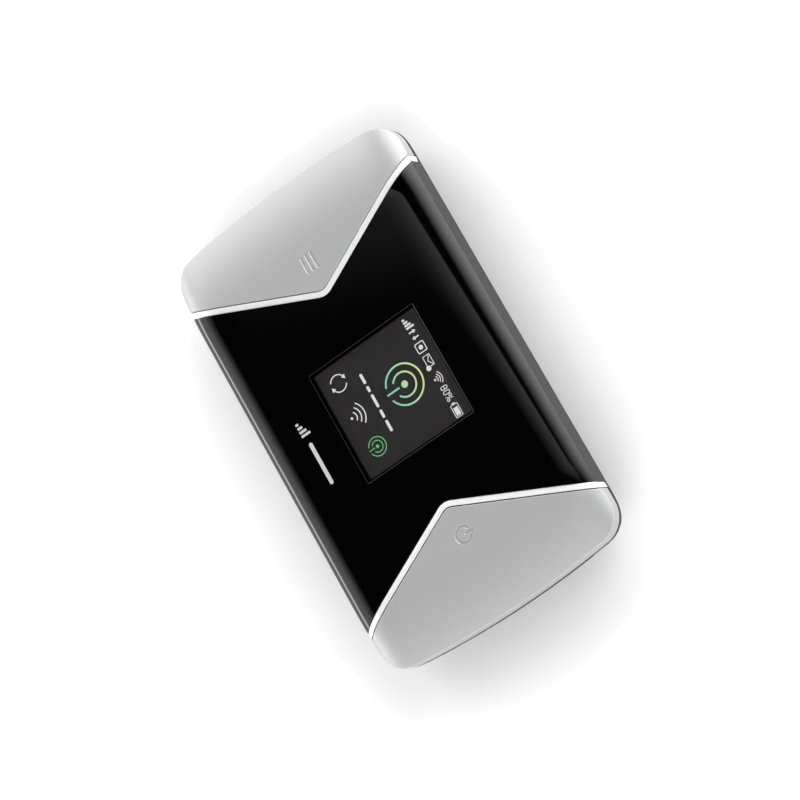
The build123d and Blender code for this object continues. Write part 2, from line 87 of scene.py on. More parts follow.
# Window and screen
LENS_LOW, LENS_HIGH = [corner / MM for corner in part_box("display_lens")]
SCREEN_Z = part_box("display_glass")[1].z / MM
WINDOW_X, WINDOW_Y = LENS_HIGH.x - LENS_LOW.x, LENS_HIGH.y - LENS_LOW.y
WINDOW_CENTRE = ((LENS_LOW.x + LENS_HIGH.x) / 2, (LENS_LOW.y + LENS_HIGH.y) / 2)


# ------------------------------------------------------------ lines and surfaces

def crown(x, y):
    """Height of the front surface over a point of the plan."""
    along = max(0.0, abs(x) + END_BULGE * (y / HALF_Y) ** 2 - (HALF_X - END_ROLL)) / END_ROLL
    across = max(0.0, abs(y) - (HALF_Y - SIDE_ROLL)) / SIDE_ROLL
    return HEIGHT - END_DROP * along**END_POWER - SIDE_DROP * across**SIDE_POWER


def crown_normal(x, y):
    """Upward normal of the front surface."""
    step = 0.001
    fall_x = (crown(x + step, y) - crown(x - step, y)) / (2 * step)
    fall_y = (crown(x, y + step) - crown(x, y - step)) / (2 * step)
    return Vector((-fall_x, -fall_y, 1)).normalized()


def v_line(y, offset):
    """X of the power end's V line, moved out by offset, with its rounded tip."""
    apex = V_APEX + offset / sin(V_ANGLE)
    radius = V_ROUND - offset
    if abs(y) >= radius * cos(V_ANGLE):
        return apex + V_SLOPE * abs(y)
    return apex + radius / sin(V_ANGLE) - sqrt(radius**2 - y * y)


def v_rows(reach, step=0.7, tip=2.0, tip_rows=13):
    """Y values from -reach to reach, closer together round the tip of the V."""
    outer = list(np.linspace(-reach, -tip, ceil((reach - tip) / step), endpoint=False))
    return outer + list(np.linspace(-tip, tip, tip_rows)) + [-y for y in reversed(outer)]


def straight(start, finish, step=0.8):
    """Points from start up to, but not including, finish."""
    count = max(1, ceil(hypot(finish[0] - start[0], finish[1] - start[1]) / step))
    return [tuple(np.array(start) + (np.array(finish) - start) * i / count) for i in range(count)]


def arc(centre, radius, start, finish, count):
    """Points on a circle between two angles, both included."""
    x, y = centre
    return [(x + radius * cos(a), y + radius * sin(a)) for a in np.linspace(start, finish, count)]


def end_outline():
    """The power end's edge from the +Y long side round to the -Y one."""
    end_radius = (HALF_Y**2 + END_BULGE**2) / (2 * END_BULGE)
    end_x = HALF_X - end_radius
    corner_y = HALF_Y - CORNER_RADIUS
    corner_x = end_x + sqrt((end_radius - CORNER_RADIUS) ** 2 - corner_y**2)
    meet = asin(corner_y / (end_radius - CORNER_RADIUS))
    corner = arc((corner_x, corner_y), CORNER_RADIUS, pi / 2, meet, 15)
    end = arc((end_x, 0), end_radius, meet, -meet, 70)[1:-1]
    return corner + end + [(x, -y) for x, y in reversed(corner)]


def key_loop():
    """Edge of the power key cap, anticlockwise."""
    v_side = [(v_line(y, TRIM_WIDTH + KEY_GAP), y) for y in reversed(v_rows(HALF_Y))]
    end = end_outline()
    return v_side[:-1] + straight(v_side[-1], end[-1]) + end[:0:-1] + straight(end[0], v_side[0])


def panel_loop():
    """Edge of the glossy front, anticlockwise."""
    right = [(v_line(y, 0), y) for y in v_rows(HALF_Y)]
    left = [(-x, y) for x, y in reversed(right)]
    return right[:-1] + straight(right[-1], left[0]) + left[:-1] + straight(left[-1], right[0])


def box_loop(centre, size_x, size_y, radius=0.0, corner_points=5, step=50.0):
    """Rectangle with round corners, anticlockwise."""
    x, y = centre
    loop = []
    for quarter, (side_x, side_y) in enumerate(((1, 1), (-1, 1), (-1, -1), (1, -1))):
        corner = (x + side_x * (size_x / 2 - radius), y + side_y * (size_y / 2 - radius))
        turn = arc(corner, radius, quarter * pi / 2, (quarter + 1) * pi / 2, corner_points if radius else 1)
        loop += (straight(loop.pop(), turn[0], step) if loop else []) + turn
    return loop[:-1] + straight(loop[-1], loop[0], step)


def ring_loop(centre, outer, inner, start, finish, count=40):
    """Part of a ring between two angles in degrees, with round ends, anticlockwise."""
    start, finish = radians(start), radians(finish)
    middle, half = (outer + inner) / 2, (outer - inner) / 2
    far = (centre[0] + middle * cos(finish), centre[1] + middle * sin(finish))
    near = (centre[0] + middle * cos(start), centre[1] + middle * sin(start))
    loop = arc(centre, outer, start, finish, count)
    loop += arc(far, half, finish, finish + pi, 9)[1:-1]
    loop += arc(centre, inner, finish, start, count)
    return loop + arc(near, half, start + pi, start + 2 * pi, 9)[1:-1]


def stroke_loop(start, finish, width):
    """A straight stroke with round ends."""
    angle = atan2(finish[1] - start[1], finish[0] - start[0])
    return arc(finish, width / 2, angle - pi / 2, angle + pi / 2, 9) + arc(
        start, width / 2, angle + pi / 2, angle + 3 * pi / 2, 9)


def disc(centre, radius, count=16):
    """A whole circle."""
    return arc(centre, radius, 0, 2 * pi, count + 1)[:-1]


def clearance(point, loop):
    """Distance from a point to the nearest side of a loop."""
    starts = np.array(loop)
    sides = np.roll(starts, -1, 0) - starts
    along = (((point - starts) * sides).sum(1) / (sides**2).sum(1)).clip(0, 1)
    return np.hypot(*(starts + sides * along[:, None] - point).T).min()


def drawn_in(loop, distance):
    """The loop moved to its left by distance. Points that would cross a corner gather at it."""
    if not distance:
        return loop
    moved = []
    for i, here in enumerate(loop):
        before = (Vector(here) - Vector(loop[i - 1])).normalized()
        after = (Vector(loop[(i + 1) % len(loop)]) - Vector(here)).normalized()
        along = (before + after).normalized()
        reach = distance / max(0.3, along.dot(before))
        moved.append((here[0] - along.y * reach, here[1] + along.x * reach))
    slack = 0.02 * abs(distance)
    good = [i for i, point in enumerate(moved) if clearance(np.array(point), loop) > abs(distance) - slack]
    count = len(loop)
    nearest = [min(good, key=lambda j: min((i - j) % count, (j - i) % count)) for i in range(count)]
    return [moved[i] for i in nearest]


def surrounded(points, loop):
    """For each point, whether it is inside the loop."""
    px, py = points[:, 0], points[:, 1]
    result = np.zeros(len(points), bool)
    for (x0, y0), (x1, y1) in zip(loop, loop[1:] + loop[:1]):
        if y0 != y1:
            result ^= ((y0 > py) != (y1 > py)) & (px < (x1 - x0) * (py - y0) / (y1 - y0) + x0)
    return result


# ------------------------------------------------------------ mesh building

class Sheet:
    """Points and faces of one piece, gathered in millimetres."""

    def __init__(self):
        self.points = []
        self.faces = []
        self.slots = []

    def ring(self, points):
        """Adds a row of points and returns their numbers."""
        first = len(self.points)
        self.points += [tuple(point) for point in points]
        return list(range(first, len(self.points)))

    def face(self, corners, slot=0):
        """Adds one face."""
        self.faces.append(tuple(corners))
        self.slots.append(slot)

    def strip(self, low, high, slot=0, closed=True):
        """Adds quads between two rows of points."""
        for i in range(len(low) if closed else len(low) - 1):
            j = (i + 1) % len(low)
            self.face((low[i], low[j], high[j], high[i]), slot)

    def fill(self, rings, height, step, slot=0):
        """Adds triangles over the area of the first ring less the others, following height."""
        loops = [[self.points[i][:2] for i in ring] for ring in rings]
        edge = np.array([point for loop in loops for point in loop])
        low, high = edge.min(0), edge.max(0)
        columns = np.arange(low[0] + step / 2, high[0], step)
        rows = np.arange(low[1] + step / 2, high[1], step)
        grid = np.array([(x, y) for y in rows for x in columns]).reshape(-1, 2)
        keep = surrounded(grid, loops[0])
        for loop in loops[1:]:
            keep &= ~surrounded(grid, loop)
        clear = (0.45 * step) ** 2
        grid = [p for p in grid[keep] if ((edge - p) ** 2).sum(1).min() > clear]
        numbers = [i for ring in rings for i in ring] + self.ring([(x, y, height(x, y)) for x, y in grid])
        edges = []
        for ring in rings:
            start = len(edges)
            edges += [(start + i, start + (i + 1) % len(ring)) for i in range(len(ring))]
        flat = [Vector(self.points[i][:2]) for i in numbers]
        _, _, found, origins, _, _ = delaunay_2d_cdt(flat, edges, [], 0, 1e-5, True)
        triangles = [[numbers[origins[corner][0]] for corner in triangle] for triangle in found]
        corners = np.array([[self.points[i][:2] for i in triangle] for triangle in triangles])
        sides = np.roll(corners, -1, 1) - corners
        across = np.abs(sides[:, 0, 0] * sides[:, 1, 1] - sides[:, 0, 1] * sides[:, 1, 0])
        centres = corners.mean(1)
        wanted = surrounded(centres, loops[0]) & (across > SLIVER * np.hypot(*sides.T).max(0))
        for loop in loops[1:]:
            wanted &= ~surrounded(centres, loop)
        for triangle, good in zip(triangles, wanted):
            if good:
                self.face(triangle, slot)

    def plate(self, loops, low, high, slot=0):
        """Adds a flat plate: the first loop less the others, between two heights."""
        tops = [self.ring([(x, y, high) for x, y in loop]) for loop in loops]
        bottoms = [self.ring([(x, y, low) for x, y in loop]) for loop in loops]
        for top, bottom in zip(tops, bottoms):
            self.strip(bottom, top, slot)
        self.fill(tops, lambda x, y: high, 50.0, slot)
        self.fill(bottoms, lambda x, y: low, 50.0, slot)

    def mirrored(self):
        """The same piece at the menu end."""
        other = Sheet()
        other.points = [(-x, y, z) for x, y, z in self.points]
        other.faces = list(self.faces)
        other.slots = list(self.slots)
        return other

    def build(self, name, body, finishes, sharp=32):
        """Makes the piece, smooth between sharp edges, riding on its body."""
        mesh = bpy.data.meshes.new(name)
        mesh.from_pydata([(x * MM, y * MM, z * MM) for x, y, z in self.points], [], self.faces)
        for finish in finishes:
            mesh.materials.append(FINISHES[finish])
        mesh.polygons.foreach_set("material_index", self.slots)
        tidy_faces(mesh)
        mesh.polygons.foreach_set("use_smooth", [True] * len(mesh.polygons))
        mesh.set_sharp_from_angle(angle=radians(sharp))
        polish(mesh)
        piece = bpy.data.objects.new(name, mesh)
        bpy.context.scene.collection.objects.link(piece)
        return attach(piece, body)


def tidy_faces(mesh):
    """Joins points that fall together and turns every face outwards."""
    work = bmesh.new()
    work.from_mesh(mesh)
    bmesh.ops.remove_doubles(work, verts=work.verts, dist=2e-7)
    bmesh.ops.recalc_face_normals(work, faces=work.faces)
    work.to_mesh(mesh)
    work.free()


def polish(mesh):
    """Gives the faces on the front surface that surface's own normals, so that reflections run smoothly."""
    on_surface, same_way = 0.002, 0.93
    normals = [normal.vector.copy() for normal in mesh.corner_normals]
    for polygon in mesh.polygons:
        for corner in polygon.loop_indices:
            x, y, z = mesh.vertices[mesh.loops[corner].vertex_index].co / MM
            true = crown_normal(x, y)
            if abs(z - crown(x, y)) < on_surface and polygon.normal.dot(true) > same_way:
                normals[corner] = true
    mesh.normals_split_custom_set(normals)


def edge_rings(sheet, loop, radius, steps=4):
    """Rings turning the front surface over into the wall, lowest first."""
    rings = []
    for angle in np.linspace(0, pi / 2, steps + 1):
        points = drawn_in(loop, radius * (1 - cos(angle)))
        rings.append(sheet.ring([(x, y, crown(x, y) - radius * (1 - sin(angle))) for x, y in points]))
    for low, high in zip(rings, rings[1:]):
        sheet.strip(low, high)
    return rings


def shell_edge(sheet, loop, bottom, radius, chamfer):
    """Rounded rim, wall and underside lip along a loop. Returns the rings that bound the two skins."""
    rings = edge_rings(sheet, loop, radius)
    lows = [bottom(x, y) for x, y in loop]
    foot = sheet.ring([(x, y, z + chamfer) for (x, y), z in zip(loop, lows)])
    under = sheet.ring([(x, y, z) for (x, y), z in zip(drawn_in(loop, chamfer), lows)])
    deep = drawn_in(loop, WALL)
    lip = sheet.ring([(x, y, min(z, crown(x, y) - WALL)) for (x, y), z in zip(deep, lows)])
    inner = sheet.ring([(x, y, crown(x, y) - WALL) for x, y in deep])
    for low, high in ((foot, rings[0]), (under, foot), (lip, under), (inner, lip)):
        sheet.strip(low, high)
    return rings[-1], inner


# ------------------------------------------------------------ materials

FINISHES = {}


def finish(name, colour, rough, metallic=0.0):
    """A new Principled material. Returns its node tree and shader."""
    made = bpy.data.materials.new(name)
    made.use_nodes = True
    FINISHES[name] = made
    shader = made.node_tree.nodes["Principled BSDF"]
    shader.inputs["Base Color"].default_value = (*colour, 1)
    shader.inputs["Roughness"].default_value = rough
    shader.inputs["Metallic"].default_value = metallic
    return made.node_tree, shader


def texture(tree, kind, **numbers):
    """A texture node on the object's own coordinates, in metres."""
    place = tree.nodes.new("ShaderNodeTexCoord")
    node = tree.nodes.new(kind)
    for socket, number in numbers.items():
        node.inputs[socket.replace("_", " ")].default_value = number
    tree.links.new(place.outputs["Object"], node.inputs["Vector"])
    return node


def noise(tree, scale, detail=4.0, roughness=0.5):
    """Noise with that many cycles to the metre."""
    node = texture(tree, "ShaderNodeTexNoise", Scale=scale, Detail=detail, Roughness=roughness)
    return node.outputs["Fac"]


def remap(tree, value, low, high, new_low, new_high):
    """A value moved from one range to another."""
    node = tree.nodes.new("ShaderNodeMapRange")
    for socket, number in zip(("From Min", "From Max", "To Min", "To Max"), (low, high, new_low, new_high)):
        node.inputs[socket].default_value = number
    tree.links.new(value, node.inputs["Value"])
    return node.outputs["Result"]


def vary_roughness(tree, shader, value, low, high):
    """Roughness running between two values."""
    tree.links.new(remap(tree, value, 0.3, 0.7, low, high), shader.inputs["Roughness"])


def vary_colour(tree, shader, value, dark, light, low=0.3, high=0.7, socket="Base Color"):
    """Colour running between two colours."""
    ramp = tree.nodes.new("ShaderNodeValToRGB")
    for element, place, colour in zip(ramp.color_ramp.elements, (low, high), (dark, light)):
        element.position = place
        element.color = (*colour, 1)
    tree.links.new(value, ramp.inputs["Fac"])
    tree.links.new(ramp.outputs["Color"], shader.inputs[socket])


def raise_surface(tree, shader, value, strength, depth):
    """Bump from a value; depth in millimetres."""
    node = tree.nodes.new("ShaderNodeBump")
    node.inputs["Strength"].default_value = strength
    node.inputs["Distance"].default_value = depth * MM
    tree.links.new(value, node.inputs["Height"])
    tree.links.new(node.outputs["Normal"], shader.inputs["Normal"])


def shades(colour, spread):
    """A darker and a lighter shade of a colour."""
    return [c * (1 - spread) for c in colour], [c * (1 + spread) for c in colour]


def gloss_black():
    """Piano-black lacquer with a trace of polishing haze."""
    tree, shader = finish("gloss_black", (0.0005, 0.0005, 0.0006), 0.04)
    vary_roughness(tree, shader, noise(tree, 70), 0.03, 0.05)


def satin_silver():
    """Satin silver paint with a fine metal fleck."""
    colour = (0.41, 0.41, 0.415)
    tree, shader = finish("satin_silver", colour, 0.36, 0.3)
    fleck = noise(tree, 9000, 2)
    vary_colour(tree, shader, fleck, *shades(colour, 0.06))
    vary_roughness(tree, shader, fleck, 0.33, 0.4)
    raise_surface(tree, shader, fleck, 0.03, 0.02)


def bright_trim():
    """Bright satin plating."""
    tree, shader = finish("bright_trim", (0.88, 0.88, 0.885), 0.22, 0.3)
    vary_roughness(tree, shader, noise(tree, 2500), 0.18, 0.26)


def moulded(name, colour, rough, grain):
    """Moulded plastic with an eroded grain of that many cycles to the metre. Returns its shader."""
    tree, shader = finish(name, colour, rough)
    speck = noise(tree, grain, 3, 0.6)
    vary_colour(tree, shader, speck, *shades(colour, 0.12))
    vary_roughness(tree, shader, speck, rough - 0.05, rough + 0.08)
    raise_surface(tree, shader, speck, 0.15, 0.03)
    return shader


def metal(name, colour, rough, marks):
    """Metal with fine rolling marks."""
    tree, shader = finish(name, colour, rough, 1.0)
    mark = noise(tree, marks, 6, 0.6)
    vary_colour(tree, shader, mark, *shades(colour, 0.05))
    vary_roughness(tree, shader, mark, rough - 0.05, rough + 0.08)
    raise_surface(tree, shader, mark, 0.06, 0.02)


def clear_lens():
    """Clear coated window, with weak reflections."""
    tree, shader = finish("clear_lens", (1, 1, 1), 0.0)
    shader.inputs["IOR"].default_value = 1.3
    shader.inputs["Transmission Weight"].default_value = 1.0
    vary_roughness(tree, shader, noise(tree, 300), 0.0, 0.01)


def lit(name, colour):
    """A lit part of the screen, with the grid of its picture elements."""
    tree, shader = finish(name, (0.01, 0.01, 0.01), 0.4)
    shader.inputs["Emission Strength"].default_value = 1.0
    shader.inputs["Specular IOR Level"].default_value = 0.1
    cell = {"Mortar_Size": 0.02, "Brick_Width": 0.5, "Row_Height": 0.5}
    grid = texture(tree, "ShaderNodeTexBrick", Scale=7000.0, **cell)
    grid.offset = 0.0
    vary_colour(tree, shader, grid.outputs["Fac"], colour, shades(colour, 0.15)[0], 0, 1, "Emission Color")
    return tree, shader


def lit_gradient(name, low, high, centre_y, reach):
    """A lit shape whose colour runs up the screen."""
    tree, shader = lit(name, low)
    split = texture(tree, "ShaderNodeSeparateXYZ")
    run = remap(tree, split.outputs["Y"], (centre_y - reach) * MM, (centre_y + reach) * MM, 0, 1)
    vary_colour(tree, shader, run, low, high, 0, 1, "Emission Color")


def circuit_board():
    """Green solder mask over copper tracks."""
    tree, shader = finish("board_green", (0.006, 0.07, 0.03), 0.35)
    tracks = texture(tree, "ShaderNodeTexVoronoi", Scale=450.0)
    tracks.feature = "DISTANCE_TO_EDGE"
    edge = tracks.outputs["Distance"]
    vary_colour(tree, shader, edge, (0.03, 0.22, 0.08), (0.006, 0.07, 0.03), 0.03, 0.06)
    raise_surface(tree, shader, edge, 0.1, 0.03)


def make_finishes():
    """Every material, by the name of its slot."""
    gloss_black()
    satin_silver()
    bright_trim()
    clear_lens()
    circuit_board()
    band = moulded("band_grey", (0.03, 0.03, 0.032), 0.5, 5000)
    band.inputs["Specular IOR Level"].default_value = 0.3
    moulded("print_grey", (0.45, 0.45, 0.45), 0.4, 4000)
    moulded("cover_black", (0.018, 0.018, 0.019), 0.55, 2600)
    moulded("chip_black", (0.02, 0.02, 0.022), 0.5, 7000)
    moulded("foam_black", (0.012, 0.012, 0.013), 0.9, 3000)
    moulded("ceramic_tan", (0.36, 0.24, 0.13), 0.4, 4000)
    moulded("connector_ivory", (0.6, 0.56, 0.45), 0.45, 3500)
    moulded("flex_amber", (0.45, 0.18, 0.03), 0.3, 1800)
    moulded("backlight_white", (0.8, 0.8, 0.8), 0.4, 1500)
    moulded("sleeve_white", (0.72, 0.73, 0.74), 0.4, 1200)
    moulded("thermal_blue", (0.12, 0.25, 0.45), 0.8, 2500)
    moulded("card_white", (0.75, 0.75, 0.77), 0.45, 1600)
    metal("steel", (0.55, 0.56, 0.57), 0.32, 1500)
    metal("gold_contact", (0.9, 0.62, 0.22), 0.25, 2500)
    metal("antenna_copper", (0.72, 0.36, 0.2), 0.35, 2000)
    metal("cell_alloy", (0.6, 0.61, 0.63), 0.38, 900)
    lit("screen_glass", (0.0185, 0.017, 0.0175))
    lit("screen_white", (0.75, 0.75, 0.75))
    lit("screen_tile", (0.008, 0.03, 0.012))
    lit("screen_green", (0.24, 0.5, 0.27))


# ------------------------------------------------------------ pieces of the shell

def front_panel():
    """Glossy front with its rolled edges and the stepped window opening."""
    sheet = Sheet()
    rim_radius, window_rim, window_corner = 0.07, 0.08, 0.25
    corner_floor, least_wall, ledge_width = 12.92, 0.1, 0.6

    def bottom(x, y):
        top = crown(x, y)
        on_v_side = abs(y) < HALF_Y - 0.01
        if on_v_side:
            return max(PANEL_BOTTOM, top - 2 * TRIM_DEPTH)
        return max(corner_floor, min(PANEL_BOTTOM, top - least_wall))

    outer, inner = shell_edge(sheet, panel_loop(), bottom, rim_radius, 0.0)
    window = box_loop(WINDOW_CENTRE, WINDOW_X, WINDOW_Y, window_corner)[::-1]
    rings = edge_rings(sheet, window, window_rim)
    open_x, open_y = WINDOW_X - 2 * ledge_width, WINDOW_Y - 2 * ledge_width
    opening = box_loop(WINDOW_CENTRE, open_x, open_y, window_corner)[::-1]
    lower = rings[0]
    for loop, z in ((window, LENS_LOW.z), (opening, LENS_LOW.z), (opening, HEIGHT - WALL)):
        deeper = sheet.ring([(x, y, z) for x, y in loop])
        sheet.strip(deeper, lower)
        lower = deeper
    sheet.fill([outer, rings[-1]], crown, 1.0)
    sheet.fill([inner, lower], lambda x, y: crown(x, y) - WALL, 2.5)
    return sheet.build("front_shell", "chassis", ["gloss_black"])


def menu_icon():
    """Three short bars."""
    length, width, pitch, corner = 4.6, 0.8, 1.4, 0.3
    return [box_loop((ICON_X, ICON_Y + pitch * row), length, width, corner, 6) for row in (-1, 0, 1)]


def power_icon():
    """Ring open at the top with a stroke through the opening."""
    opening, outer, inner = 30.0, 2.25, 1.5
    stroke_foot, stroke_top = ICON_Y + 0.65, ICON_Y + 2.4
    return [ring_loop((ICON_X, ICON_Y), outer, inner, 90 + opening, 450 - opening),
            stroke_loop((ICON_X, stroke_foot), (ICON_X, stroke_top), outer - inner)]


def key_shell(icon):
    """A key cap at the power end, with its icon sunk into it."""
    sheet = Sheet()
    rim_radius, chamfer, clear_of_trim = 0.22, 0.1, 1.55

    def bottom(x, y):
        on_v_side = abs(x - v_line(y, TRIM_WIDTH + KEY_GAP)) < 0.05 and abs(y) < HALF_Y - clear_of_trim
        return crown(x, y) - WALL if on_v_side else KEY_BOTTOM

    outer, inner = shell_edge(sheet, key_loop(), bottom, rim_radius, chamfer)
    rims = []
    for loop in icon:
        rim = sheet.ring([(x, y, crown(x, y)) for x, y in loop])
        floor = sheet.ring([(x, y, crown(x, y) - ICON_DEPTH) for x, y in drawn_in(loop, ICON_SLOPE)])
        sheet.strip(rim, floor)
        sheet.fill([floor], lambda x, y: crown(x, y) - ICON_DEPTH, 0.6)
        rims.append(rim)
    sheet.fill([outer] + rims, crown, 0.9)
    sheet.fill([inner], lambda x, y: crown(x, y) - WALL, 2.5)
    return sheet


def trim_strip():
    """Bright strip at the power end: over the front along the V and down both side walls."""
    # A station is y, how far up from the rim to the front it is, its drop, and how far it leans inwards
    rim_radius, crowning, side_gap = 0.3, 0.16, 0.04
    wall = [(t, t * rim_radius, 0.0) for t in np.linspace(0, 1, 6)[:-1]]
    turn = [(1.0, rim_radius * (1 - sin(a)), a) for a in np.linspace(0, pi / 2, 6)[:-1]]
    edge = [(HALF_Y - rim_radius * (1 - cos(lean)), rise, drop, lean) for rise, drop, lean in wall + turn]
    top = [(y, 1.0, 0.0, pi / 2) for y in v_rows(HALF_Y - rim_radius)]
    stations = [(-y, *rest) for y, *rest in edge] + top + edge[::-1]
    across = np.linspace(0, 1, 11)
    section = [(side_gap + u * (TRIM_WIDTH - 2 * side_gap), crowning * (1 - u) ** 2) for u in across]
    section += [(section[-1][0], TRIM_DEPTH), (section[0][0], TRIM_DEPTH)]
    sheet = Sheet()
    rings = []
    for y, rise, drop, lean in stations:
        row = []
        for offset, depth in section:
            x = v_line(y, offset)
            z = RIM_TOP + rise * (crown(x, y) - RIM_TOP) - drop
            row.append((x, y - copysign(cos(lean) * depth, y), z - sin(lean) * depth))
        rings.append(sheet.ring(row))
    for low, high in zip(rings, rings[1:]):
        sheet.strip(low, high)
    sheet.face(rings[0])
    sheet.face(rings[-1])
    return sheet


def lens():
    """Clear window, flush with the front, with eased edges painted black."""
    sheet = Sheet()
    gap, ease, corner = 0.06, 0.05, 0.2
    loop = box_loop(WINDOW_CENTRE, WINDOW_X - 2 * gap, WINDOW_Y - 2 * gap, corner)
    levels = [(ease, LENS_LOW.z), (0, LENS_LOW.z + ease), (0, LENS_HIGH.z - ease), (ease, LENS_HIGH.z)]
    rings = [sheet.ring([(x, y, z) for x, y in drawn_in(loop, inset)]) for inset, z in levels]
    painted = 1
    for low, high in zip(rings, rings[1:]):
        sheet.strip(low, high, painted)
    sheet.fill([rings[0]], lambda x, y: LENS_LOW.z, 50.0)
    sheet.fill([rings[-1]], lambda x, y: LENS_HIGH.z, 50.0)
    return sheet.build("window_lens", "chassis", ["clear_lens", "gloss_black"])


# ------------------------------------------------------------ what the screen shows

def on_screen(across, up):
    """A point of the screen from fractions of the window."""
    x, y = WINDOW_CENTRE
    return x + (across - 0.5) * WINDOW_X, y + (up - 0.5) * WINDOW_Y


def shifted(shape, centre, scale=1.0):
    """A shape's loops scaled and moved to a centre."""
    return [[(centre[0] + scale * x, centre[1] + scale * y) for x, y in loop] for loop in shape]


def signal_bars():
    """Four rising bars."""
    return [[box_loop((0.62 * i, 0.28 + 0.22 * i), 0.42, 0.56 + 0.44 * i, 0.06)] for i in range(4)]


def data_arrows():
    """One arrow up and one down."""
    up = [(-0.2, -0.8), (0.1, -0.8), (0.1, 0.2), (0.45, 0.2), (-0.05, 0.85), (-0.55, 0.2), (-0.2, 0.2)]
    down = [(0.75 - x, 0.1 - y) for x, y in up]
    return [[[(x - 0.45, y) for x, y in up]], [[(x + 0.1, y) for x, y in down]]]


def boxed_dot():
    """A rounded square outline round a dot."""
    outline = [box_loop((0, 0), 1.9, 1.9, 0.3), box_loop((0, 0), 1.55, 1.55, 0.2)]
    return [outline, [disc((0, 0), 0.42)]]


def envelope():
    """An envelope with its flap, and a round badge."""
    outline = [box_loop((0, 0), 2.5, 1.7, 0.15), box_loop((0, 0), 2.2, 1.4, 0.08)]
    flap = stroke_loop((-1.0, 0.55), (0, -0.15), 0.16)
    other = stroke_loop((0.04, -0.12), (1.0, 0.55), 0.16)
    return [outline, [flap], [other], [disc((1.35, -0.75), 0.55)]]


def waves(levels, spread, inner, pitch, thick):
    """Wireless arcs over a point."""
    arcs = [[ring_loop((0, 0), inner + pitch * i + thick, inner + pitch * i, 90 - spread, 90 + spread, 15)]
            for i in range(levels)]
    return arcs + [[disc((0, 0), 0.75 * thick + 0.1)]]


def battery_gauge():
    """A battery outline with its charge."""
    body = [box_loop((0, 0), 3.2, 2.0, 0.25), box_loop((0, 0), 2.86, 1.66, 0.12)]
    charge = [box_loop((0.2, 0), 2.0, 1.2, 0.05)]
    tip = [box_loop((-1.8, 0), 0.3, 0.9, 0.08)]
    return [body, charge, tip]


def percent():
    """The figure 80 and a percent sign, drawn with strokes."""
    shapes = []
    for x, waist in ((-1.6, True), (-0.55, False)):
        shapes.append([box_loop((x, 0), 0.82, 1.6, 0.4, 7), box_loop((x, 0), 0.5, 1.28, 0.24, 7)])
        if waist:
            shapes.append([box_loop((x, 0.02), 0.56, 0.16, 0.02)])
    for x, y in ((0.25, 0.42), (1.0, -0.42)):
        shapes.append([disc((x, y), 0.36), disc((x, y), 0.2)])
    return shapes + [[stroke_loop((0.3, -0.72), (0.95, 0.72), 0.13)]]


def beacon():
    """Two open rings and a dot on a mast."""
    stroke = 0.42
    shapes = []
    for radius, gap in ((4.75, 43), (2.9, 74)):
        outer, inner = radius + stroke / 2, radius - stroke / 2
        shapes.append([ring_loop((0, 0), outer, inner, -90 + gap / 2, 270 - gap / 2, 60)])
    return shapes + [[disc((0, 0), 0.84, 32)], [stroke_loop((0, -1.74), (0, -4.9), stroke)]]


def refresh():
    """Two arrows chasing each other round a ring."""
    shapes = []
    for turn in (90, 270):
        shapes.append([ring_loop((0, 0), 2.05, 1.8, turn + 25, turn + 150, 24)])
        at = radians(turn + 20)
        tip = [(1.92 + 0.62 * cos(a), 0.62 * sin(a)) for a in (-pi / 2, pi / 6, 5 * pi / 6)]
        shapes.append([[(x * cos(at) - y * sin(at), x * sin(at) + y * cos(at)) for x, y in tip]])
    return shapes


def caption():
    """A row of rounded dashes where the screen has its line of text."""
    lengths = (2.6, 1.5, 3.4, 2.1, 2.9)
    gap = 0.7
    x = -(sum(lengths) + gap * (len(lengths) - 1)) / 2
    shapes = []
    for length in lengths:
        shapes.append([box_loop((x + length / 2, 0), length, 0.7, 0.3)])
        x += length + gap
    return shapes


def screen_contents():
    """Everything lit on the screen, as thin plates on its glass."""
    status_row, key_row = 0.866, 0.175
    big = on_screen(0.486, 0.613)
    white = [
        (signal_bars(), on_screen(0.055, status_row - 0.03), 1.15),
        (data_arrows(), on_screen(0.19, status_row), 1.1),
        (boxed_dot(), on_screen(0.315, status_row), 1.35),
        (envelope(), on_screen(0.44, status_row), 1.15),
        (waves(3, 45, 0.5, 0.45, 0.16), on_screen(0.6, status_row - 0.03), 1.3),
        (percent(), on_screen(0.755, status_row), 1.15),
        (battery_gauge(), on_screen(0.9, status_row), 1.0),
        (caption(), on_screen(0.475, 0.345), 1.0),
        (refresh(), on_screen(0.17, key_row - 0.015), 1.05),
        (waves(3, 45, 1.1, 0.95, 0.24), on_screen(0.47, key_row - 0.06), 1.15),
    ]
    low, high, tile_top = SCREEN_Z - 0.01, SCREEN_Z + 0.02, SCREEN_Z + 0.01
    small, small_scale = on_screen(0.775, key_row + 0.01), 0.47
    tile = [[disc((0, 0), 2.5, 40)]]
    groups = (
        ("screen_symbols", "screen_white", white, low, high),
        ("screen_beacon", "screen_gradient", [(beacon(), big, 1.0)], low, high),
        ("screen_small_beacon", "screen_green", [(beacon(), small, small_scale)], low, high),
        ("screen_tile_disc", "screen_tile", [(tile, small, 1.0)], low, tile_top),
    )
    lit_gradient("screen_gradient", (0.2, 0.62, 0.47), (0.62, 0.75, 0.3), big[1], 4.0)
    for name, finish_name, shapes, foot, top in groups:
        sheet = Sheet()
        for shape, centre, scale in shapes:
            for loops in shape:
                sheet.plate(shifted(loops, centre, scale), foot, top)
        piece = sheet.build(name, "chassis", ["screen_glass"])
        piece.data.materials[0] = FINISHES[finish_name]


